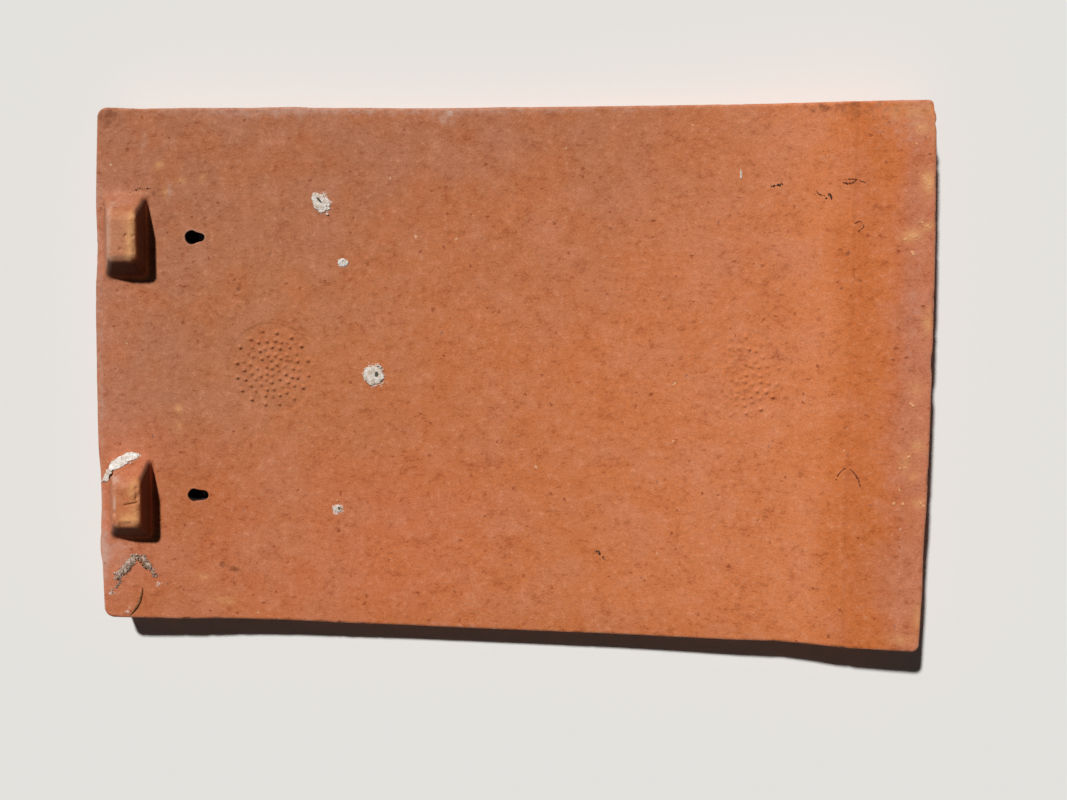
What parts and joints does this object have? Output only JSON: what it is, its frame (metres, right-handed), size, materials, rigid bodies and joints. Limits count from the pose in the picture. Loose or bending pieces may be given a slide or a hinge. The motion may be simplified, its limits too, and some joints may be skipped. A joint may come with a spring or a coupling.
{
  "type": "clay roof tile",
  "caption": "Flat rectangular clay plain tile with nibs that hook over a roofing batten, nail holes at the head and a thickened bearing strip at the tail.",
  "frame": {"origin": "middle of the weather face, the tile's lowest point as it lies on that face", "axes": "+X from the head with the nibs to the tail, +Y across the tile, +Z out of the underside"},
  "size_m": [0.27, 0.17, 0.0273],
  "materials": {
    "fired_clay": "matt fired clay, unglazed"
  },
  "bodies": {
    "root": {"roof_tile": "fired_clay"}
  },
  "joints": []
}
